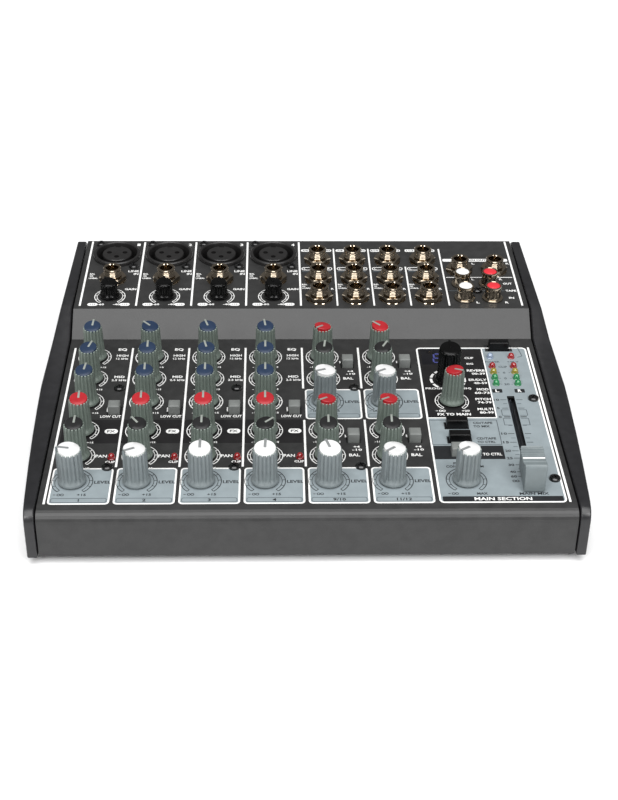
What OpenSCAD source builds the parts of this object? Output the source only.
// Compact desktop mixing console: a folded sheet-metal panel over a tray, two moulded side cheeks,
// four microphone channels, four stereo channels on two columns, an effects and main section.
// Millimetres, +Z up, front of the console towards -Y, origin at the centre of its footprint.

/* [Housing] */
// Half of the width across both side cheeks
half_width = 123.5; // [121:0.5:126]
// Half of the depth from the front to the rear of the cheeks
half_depth = 110; // [109.5:0.5:112]
// Half of the width of the sheet-metal panel
panel_half = 113.6; // [113:0.1:114]
// Thickness of the steel sheet
sheet_t = 1.5; // [1:0.1:2]
// Height of the rubber feet
foot_h = 4; // [3:0.5:8]
// Height of the vertical front face, up to where the two planes of the sheet would meet
front_h = 21.8; // [21:0.2:26]
// Slope of the control surface and of the connector field, in degrees
tilt = 3; // [2:0.5:4]
// How far the cheeks stand above the sheet
cheek_proud = 1.2; // [0.5:0.1:2]

/* [Controls] */
// Spacing of the channel strips
pitch = 27.45; // [27:0.05:28]
// Height of a control knob above the panel
knob_h = 19; // [16:0.5:22]
// Height of a gain knob above the panel
gain_knob_h = 9.5; // [8:0.5:12]
// Radius of a potentiometer shaft
shaft_r = 3; // [2.8:0.1:3]
// Travel of a push button
button_travel = 1.8; // [1:0.1:2]
// Travel of the main fader
fader_travel = 60; // [55:1:60]

/* [Sockets] */
// Bore radius of a 6.35 mm jack socket
jack_bore_r = 3.2; // [3.2:0.01:3.25]
// Height of a jack ferrule above the panel
jack_h = 7.5; // [6:0.5:9]
// Outer radius of a phono socket sleeve
phono_r = 4.15; // [4.1:0.05:4.2]
// Height of a phono sleeve above the panel
phono_h = 7.8; // [7:0.2:9]

/* [Hidden] */
$fn = 48;
EPS = 0.01;
CHANNELS = [1, 2, 3, 4];
STEREO = ["5_6", "9_10", "7_8", "11_12"];
MONO_KNOBS = ["gain", "high", "mid", "low", "fx", "pan", "level"];
STEREO_KNOBS = ["fx", "balance", "level"];

// Sheet profile: the front face, the control surface, the riser and the connector field
front_y = -half_depth + 1;
line_inset = 7.1;
control_y = front_y + line_inset;
control_z = foot_h + front_h + line_inset * tan(tilt);
riser_foot_y = 25.5;
riser_top_y = 38.5;
riser_rise = 10.1;
riser_foot_z = control_z + (riser_foot_y - control_y) * tan(tilt);
riser_top_z = riser_foot_z + riser_rise;
field_y = 41.2;
field_z = riser_top_z + (field_y - riser_top_y) * tan(tilt);
rear_y = 108.1;
rear_z = field_z + (rear_y - field_y) * tan(tilt);
fold_r = 5;
cheek_gap = 0.6;
cheek_rear_chamfer = 2;

// Knob columns and rows; rows are distances up the slope from the front end of the printed lines
first_line_x = -110.3;
knob_dx = 9.75;
centre_dx = pitch / 2;
button_dx = 23.05;
level_button_dx = 21.65;
clip_dx = 25;
rows = [111.4, 92.8, 74, 51.6, 33, 15];
upper_rows = [rows[0], rows[1], rows[2]];
lower_rows = [rows[3], rows[4], rows[5]];
gain_row = 9;
main_x = 68.4;
program_row = 91.7;
low_cut_row = 67;
level_button_rows = [104.9, 45.1];

// Panel hardware
control_screws = [[-86.5, 84.9], [-31.7, 84.9], [-86.5, 24.8], [-31.7, 24.8],
                  [23.5, 84.9], [23.5, 24.8], [106.7, 75.7], [106.7, 15.7]];
meter_x = [90.9, 101.2];
meter_rows = [102.5, 97.6, 92.7, 87.8];
status_row = 110.8;
display = [65.35, 111.6, 15.7, 13.8];
fader_x = 96.3;
fader_rest = 15.5;
fader_slot_w = 3.4;
tape_keys = [[68.4, 54.7], [68.6, 44]];
monitor_key = [66.5, 34.4];
phantom_key = [96, 118.9];

// Connector field: rows are distances up the slope from its front edge
xlr_row = 51;
line_in_row = 25.9;
jack_columns = [8.9, 27.3, 45.8, 64.3];
jack_rows = [45.5, 26, 7.8];
main_out = [[82.8, 35.2], [100.9, 35.2]];
phono_places = [[82.5, 21.3], [96.6, 21.3], [82.5, 7.2], [96.6, 7.2]];
phono_screw = [89.8, 14.2];
inlet = [88, 22];

// Insides: both boards lie parallel to the sheet above them
board_t = 1.6;
control_board_drop = 12;
field_board_drop = 20;
pot = [9.8, 11, 6.5];
collar_r = 3.5;
shaft_clearance = 0.08;
panel_hole_r = 4;
knob_gap = 0.8;
button_gap = 0.45;
key_h = 4.5;

function strip_x(k) = first_line_x + pitch * k;
mono_x = [for (k = [0:3]) strip_x(k) + knob_dx];
stereo_x = [for (k = [4:5]) strip_x(k) + knob_dx];
centre_x = [for (k = [0:3]) strip_x(k) + centre_dx];
low_cut_x = [for (k = [0:3]) strip_x(k) + button_dx];
level_button_x = [for (k = [4:5]) strip_x(k) + level_button_dx];
jack_places = concat([for (x = centre_x) [x, line_in_row]],
                     [for (row = jack_rows) for (x = jack_columns) [x, row]], main_out);
lamp_places = concat([for (k = [0:3]) [strip_x(k) + clip_dx, 31.6]],
                     [for (x = meter_x) [x, status_row]],
                     [for (x = meter_x) for (row = meter_rows) [x, row]]);
control_knobs = concat([for (x = mono_x) for (row = rows) [x, row]],
                       [for (x = stereo_x) for (row = rows) [x, row]],
                       [[main_x, program_row], [main_x, rows[2]], [main_x, rows[5]]]);

// Frames on the two sloping surfaces: x across, y up the slope, z out of the sheet
module on_control(place) translate([0, control_y, control_z]) rotate([tilt, 0, 0])
    translate([place[0], place[1], 0]) children();
module on_field(place) translate([0, field_y, field_z]) rotate([tilt, 0, 0])
    translate([place[0], place[1], 0]) children();

// Cuboid centred on x and y, from z = low to z = high
module block(w, d, low, high) translate([-w / 2, -d / 2, low]) cube([w, d, high - low]);

// ---- Folded sheet ----

// Side view of the space under the sheet's outer skin, drawn in y and z, inset by the sheet's thickness
module skin_profile(inset) {
    top = inset / cos(tilt);
    arc_z = control_z - line_inset * tan(tilt) - fold_r;
    fold = [for (a = [180:-15:105]) [front_y + fold_r + (fold_r - inset) * cos(a), arc_z + (fold_r - inset) * sin(a)]];
    polygon(concat([[front_y + inset, foot_h - EPS]], fold, [
        [control_y, control_z - top],
        [riser_foot_y + inset * 0.4, riser_foot_z - top],
        [riser_top_y + inset * 0.3, riser_top_z - top],
        [rear_y + (inset > 0 ? 1 : 0), rear_z - top + (inset > 0 ? tan(tilt) : 0)],
        [rear_y + (inset > 0 ? 1 : 0), foot_h - EPS]]));
}

module sheet() rotate([90, 0, 90]) linear_extrude(2 * panel_half, center = true) difference() {
    skin_profile(0);
    skin_profile(sheet_t);
}

module key_opening(w, d) block(w + 2 * button_gap, d + 2 * button_gap, -2 * sheet_t, sheet_t);

module panel_bore(r) translate([0, 0, -2 * sheet_t]) cylinder(r = r, h = 3 * sheet_t);

module top_panel() color("#454545") difference() {
    sheet();
    translate([-half_width, front_y - 1, foot_h - 1]) cube([2 * half_width, 2 * half_depth, 1.4]);
    for (p = control_knobs) on_control(p) panel_bore(panel_hole_r);
    for (x = centre_x) on_field([x, gain_row]) panel_bore(panel_hole_r);
    for (p = lamp_places) on_control(p) panel_bore(1.7);
    for (p = control_screws) on_control(p) panel_bore(1.6);
    for (x = low_cut_x) on_control([x, low_cut_row]) key_opening(5.3, 5.4);
    for (x = level_button_x, row = level_button_rows) on_control([x, row]) key_opening(5.3, 5.4);
    for (p = tape_keys) on_control(p) key_opening(9.6, 4.3);
    on_control(monitor_key) key_opening(5.3, 5.4);
    on_control(phantom_key) key_opening(9.6, 4.3);
    on_control([display[0], display[1]]) key_opening(display[2] - 0.6, display[3] - 0.6);
    on_control([fader_x, 45]) key_opening(fader_slot_w - 2 * button_gap, fader_travel + 6);
    for (p = jack_places) on_field(p) panel_bore(4.7);
    for (x = centre_x) on_field([x, xlr_row]) {
        panel_bore(11.6);
        for (side = [-1, 1]) translate([side * 9.6, -side * 12, 0]) panel_bore(1.6);
    }
    for (p = phono_places) on_field(p) panel_bore(4.4);
    on_field(phono_screw) panel_bore(1.6);
}

// ---- Tray, cheeks and feet ----

module base_tray() color("#2e2e30") difference() {
    wall_top = field_z + (rear_y - sheet_t - field_y) * tan(tilt) - 1.2 * sheet_t;
    union() {
        translate([-panel_half, front_y + sheet_t + 0.2, foot_h])
            cube([2 * panel_half, rear_y - front_y - sheet_t - 0.2, sheet_t]);
        translate([-panel_half, rear_y - sheet_t, foot_h]) cube([2 * panel_half, sheet_t, wall_top - foot_h]);
        for (side = [-1, 1]) translate([side * (panel_half - sheet_t / 2), 0, foot_h])
            block(sheet_t, 2 * half_depth - 8, 0, 14);
    }
    translate([inlet[0], rear_y + 1, inlet[1]]) rotate([90, 0, 0]) cylinder(r = 5.2, h = 4);
}

// Plan of a cheek: its outer edge is a long shallow arc that is widest beside the riser
module cheek_plan() {
    widest_y = 22;
    bow = 0.00029;
    step = 11;
    polygon(concat(
        [for (y = [-half_depth:step:half_depth])
            [half_width - bow * pow(y - widest_y, 2) - (y > half_depth - 1 ? cheek_rear_chamfer : 0), y]],
        [[panel_half + cheek_gap, half_depth], [panel_half + cheek_gap, -half_depth]]));
}

// Side view of a cheek: it follows the sheet a little proud of it
module cheek_side() {
    nose_r = 6;
    nose_z = foot_h + front_h + cheek_proud - nose_r;
    polygon(concat([[-half_depth, foot_h]],
        [for (a = [180:-15:105]) [-half_depth + nose_r + nose_r * cos(a), nose_z + nose_r * sin(a)]], [
        [control_y, control_z + cheek_proud],
        [riser_foot_y - 2, riser_foot_z + cheek_proud],
        [riser_top_y - 2, riser_top_z + cheek_proud],
        [rear_y - 3, rear_z + cheek_proud - 3 * tan(tilt)],
        [half_depth, rear_z - 2],
        [half_depth, foot_h]]));
}

// Front view of the right cheek: above the control surface its outer side leans inwards
module cheek_section() {
    lean_z = 30;
    polygon([[panel_half, foot_h - 1], [half_width, foot_h - 1], [half_width, lean_z],
             [half_width - 5, lean_z + 18], [panel_half, lean_z + 18]]);
}

module cheek() intersection() {
    linear_extrude(60) cheek_plan();
    rotate([90, 0, 90]) linear_extrude(half_width + 1) cheek_side();
    rotate([90, 0, 0]) linear_extrude(2 * half_depth + 2, center = true) cheek_section();
}

module right_cheek() color("#202022") cheek();
module left_cheek() color("#202022") mirror([1, 0, 0]) cheek();

module feet() color("#1a1a1a")
    for (x = [-92, 92], y = [-86, 88]) translate([x, y, 0]) {
        cylinder(r1 = 7, r2 = 8, h = 1);
        translate([0, 0, 1]) cylinder(r = 8, h = foot_h - 1);
    }

// ---- Sockets ----

module mic_socket() {
    shell_r = 11.3;
    mouth_r = 10.4;
    insert_r = 7.7;
    depth = 19;
    difference() {
        union() {
            translate([0, 0, -depth]) cylinder(r = shell_r, h = depth + 0.5);
            cylinder(r = 12.4, h = 2.2);
            block(24, 27.6, -2 * sheet_t - 0.6, -sheet_t - 0.02);
        }
        translate([0, 0, -12]) cylinder(r = mouth_r, h = 15);
        for (side = [-1, 1]) translate([side * 9.6, -side * 12, -6]) cylinder(r = 1.5, h = 10);
    }
    difference() {
        translate([0, 0, -12 + EPS]) cylinder(r = insert_r, h = 13.6);
        for (pin = [[-4.1, 0.6], [4.1, 0.6], [0, -3.7]])
            translate([pin[0], pin[1], -8]) cylinder(r = 1.35, h = 12);
    }
}

module mic_sockets() color("#2a2a2c") for (x = centre_x) on_field([x, xlr_row]) mic_socket();

module jack_socket() {
    barrel_r = 4.5;
    body_bottom = -field_board_drop + 0.05;
    difference() {
        union() {
            block(15, 16, body_bottom, -sheet_t - 0.05);
            translate([0, 0, -sheet_t - 1]) cylinder(r = barrel_r, h = jack_h + sheet_t + 1);
        }
        translate([0, 0, -1]) cylinder(r = jack_bore_r, h = jack_h + 2);
        translate([0, 0, body_bottom + 1.5]) cylinder(r = jack_bore_r + 0.4, h = -body_bottom - 2);
    }
    difference() {
        union() {
            cylinder(r = 6.9, h = 0.5);
            translate([0, 0, 0.5]) cylinder(r = 6.9, h = 2, $fn = 6);
        }
        translate([0, 0, -1]) cylinder(r = barrel_r + 0.03, h = 5);
    }
}

// Low-voltage inlet in the rear wall
module power_inlet() translate([inlet[0], rear_y, inlet[1]]) rotate([90, 0, 0]) difference() {
    union() {
        translate([0, 0, -1]) cylinder(r = 5, h = 6);
        block(11, 11, 1.6, 13.6);
    }
    translate([0, 0, -2]) cylinder(r = 2.8, h = 11);
}

module jack_sockets() {
    color("#b9b4a8") for (p = jack_places) on_field(p) jack_socket();
    color("#202020") power_inlet();
}

// Phono sockets with their push-in covers
module phono_sockets() color("#c8c6c0") {
    difference() {
        on_field([89.5, 14.2]) block(27, 24.6, -12, -sheet_t - 0.05);
        for (p = phono_places) on_field(p) translate([0, 0, -14]) cylinder(r = phono_r + 0.03, h = 14);
        on_field(phono_screw) translate([0, 0, -8]) cylinder(r = 1.5, h = 8);
    }
    for (p = phono_places) on_field(p) {
        difference() {
            union() {
                translate([0, 0, -9]) cylinder(r = phono_r, h = 9 + phono_h);
                cylinder(r = 5.3, h = 1.1);
            }
            translate([0, 0, -10]) cylinder(r = 3.4, h = 20);
        }
        translate([0, 0, -9]) cylinder(r = 3.38, h = 9 + phono_h - 0.3);
        translate([0, 0, phono_h - 0.31]) cylinder(r1 = 3.38, r2 = 2.2, h = 0.7);
    }
}

// ---- Screws ----

module screw(length) {
    translate([0, 0, 0.02]) cylinder(r1 = 2.5, r2 = 2.2, h = 1.5);
    translate([0, 0, -length]) cylinder(r = 1.45, h = length + 0.5);
}

module panel_screws() color("#151515") {
    for (p = control_screws) on_control(p) screw(8);
    for (x = centre_x, side = [-1, 1]) on_field([x + side * 9.6, xlr_row - side * 12]) screw(5);
    on_field(phono_screw) screw(7);
}

// ---- Insides ----

module standoff() difference() {
    translate([0, 0, -control_board_drop]) cylinder(r = 2.8, h = control_board_drop - sheet_t - 0.05);
    translate([0, 0, -9]) cylinder(r = 1.5, h = 9);
}

module key_switch() difference() {
    block(4.6, 4.6, -control_board_drop, -6.5);
    block(2.8, 2.8, -8 - button_travel, -6);
}

module circuit_boards() {
    color("#1f5a35") {
        on_control([0, 64]) block(216, 120, -control_board_drop - board_t, -control_board_drop);
        difference() {
            on_field([0, 30]) block(216, 66, -field_board_drop - board_t, -field_board_drop);
            translate([inlet[0] - 7, rear_y - 16, foot_h]) cube([14, 20, 40]);
        }
    }
    color("#d8d2c0") on_control([0, 119.7]) block(40, 4.4, -control_board_drop, -6);
    color("#8d8d8d") for (p = control_screws) on_control(p) standoff();
    color("#202020") {
        for (x = low_cut_x) on_control([x, low_cut_row]) key_switch();
        for (x = level_button_x, row = level_button_rows) on_control([x, row]) key_switch();
        for (p = concat(tape_keys, [monitor_key, phantom_key])) on_control(p) key_switch();
    }
}

module pot_body(leg) difference() {
    union() {
        block(pot[0], pot[1], -control_board_drop, -control_board_drop + pot[2]);
        translate([0, 0, -control_board_drop + 1]) cylinder(r = collar_r, h = control_board_drop - 1);
        if (leg > 0) block(pot[0] - 2, pot[1] - 3, -control_board_drop - leg, -control_board_drop + 1);
    }
    translate([0, 0, -9.6]) cylinder(r = shaft_r + shaft_clearance, h = 12);
}

module potentiometers() color("#7d8288") {
    for (p = control_knobs) on_control(p) pot_body(0);
    for (x = centre_x) on_field([x, gain_row]) pot_body(field_board_drop - control_board_drop);
    on_control([fader_x, 45]) difference() {
        block(9, fader_travel + 18, -control_board_drop, -4);
        block(2.2, fader_travel + 12, -10, 0);
    }
}

module lamp() {
    cylinder(r = 1.5, h = 0.9);
    translate([0, 0, 0.9]) sphere(r = 1.5);
    translate([0, 0, -control_board_drop]) cylinder(r = 1.3, h = control_board_drop + 0.2);
}

module indicator_lamps() color("#b33028") {
    for (p = lamp_places) on_control(p) lamp();
    on_control([display[0], display[1]])
        block(display[2] - 1, display[3] - 1, -control_board_drop + 0.02, -0.1);
}

// ---- Knobs, fader and buttons ----

// Body of a knob with a skirt at its foot, and the shaft that it is pressed on
module knob(skirt_r, top_r, h) {
    skirt_h = 2;
    difference() {
        rotate_extrude() polygon([[0, knob_gap], [skirt_r, knob_gap], [skirt_r, skirt_h],
            [skirt_r - 0.7, skirt_h + 0.8], [top_r, h - 0.6], [top_r - 0.5, h], [0, h]]);
        translate([0, 0, knob_gap - 1]) cylinder(r = shaft_r + 0.02, h = h - 3);
    }
    translate([0, 0, -9.3]) cylinder(r = shaft_r, h = h + 4);
}

module small_knob(place, tint) color(tint) on_control(place) knob(5.8, 4.5, knob_h);
module level_knob_body(place) color("#8f9799") on_control(place) knob(6.1, 5.2, knob_h);
module gain_knob(ch) color("#161616") on_field([centre_x[ch - 1], gain_row]) knob(5, 4.3, gain_knob_h);

module mono_knob(kind, ch) {
    index = search([kind], MONO_KNOBS)[0];
    if (index == 0) gain_knob(ch);
    else if (kind == "level") level_knob_body([mono_x[ch - 1], rows[5]]);
    else small_knob([mono_x[ch - 1], rows[index - 1]], "#7a857e");
}

// Pairs 5_6 and 9_10 fill the upper half of the two stereo columns, 7_8 and 11_12 the lower half
module stereo_knob(kind, index) {
    line = search([kind], STEREO_KNOBS)[0];
    place = [stereo_x[index % 2], (index < 2 ? upper_rows : lower_rows)[line]];
    if (kind == "level") level_knob_body(place);
    else small_knob(place, "#7a857e");
}

module program_knob() color("#121212") on_control([main_x, program_row]) knob(6.1, 5.4, knob_h);
module fx_to_main_knob() small_knob([main_x, rows[2]], "#7a857e");
module phones_knob() level_knob_body([main_x, rows[5]]);

// Saddle-topped fader cap, with the blade that reaches the slider under the sheet
module fader_cap() color("#a9b2b5") on_control([fader_x, fader_rest]) {
    cap_w = 10.6;
    half = 8.8;
    top = 13.8;
    rotate([90, 0, 90]) linear_extrude(cap_w, center = true) polygon([
        [-half, knob_gap], [-half, 2.4], [-half + 1, top - 0.8], [-half + 2, top], [-2.5, top - 1.4],
        [0, top - 1.7], [2.5, top - 1.4], [half - 2, top], [half - 1, top - 0.8], [half, 2.4], [half, knob_gap]]);
    block(1.6, 5, -9.4, knob_gap + 0.5);
}

module key(w, d) {
    block(w, d, -3.6, key_h);
    block(2.4, 2.4, -7.4, -3.5);
}

module low_cut_buttons() color("#8b8f90") for (x = low_cut_x) on_control([x, low_cut_row]) key(5.3, 5.4);
module input_level_buttons() color("#8b8f90")
    for (x = level_button_x, row = level_button_rows) on_control([x, row]) key(5.3, 5.4);
module routing_buttons() {
    color("#161616") for (p = tape_keys) on_control(p) key(9.6, 4.3);
    color("#8b8f90") on_control(monitor_key) key(5.3, 5.4);
}
module phantom_button() color("#161616") on_control(phantom_key) key(9.6, 4.3);

top_panel();
base_tray();
left_cheek();
right_cheek();
mic_sockets();
jack_sockets();
phono_sockets();
panel_screws();
circuit_boards();
potentiometers();
indicator_lamps();
feet();
for (kind = MONO_KNOBS) for (ch = CHANNELS)
    mono_knob(kind, ch);
for (kind = STEREO_KNOBS) for (index = [0:3])
    stereo_knob(kind, index);
program_knob();
fx_to_main_knob();
phones_knob();
fader_cap();
low_cut_buttons();
input_level_buttons();
routing_buttons();
phantom_button();
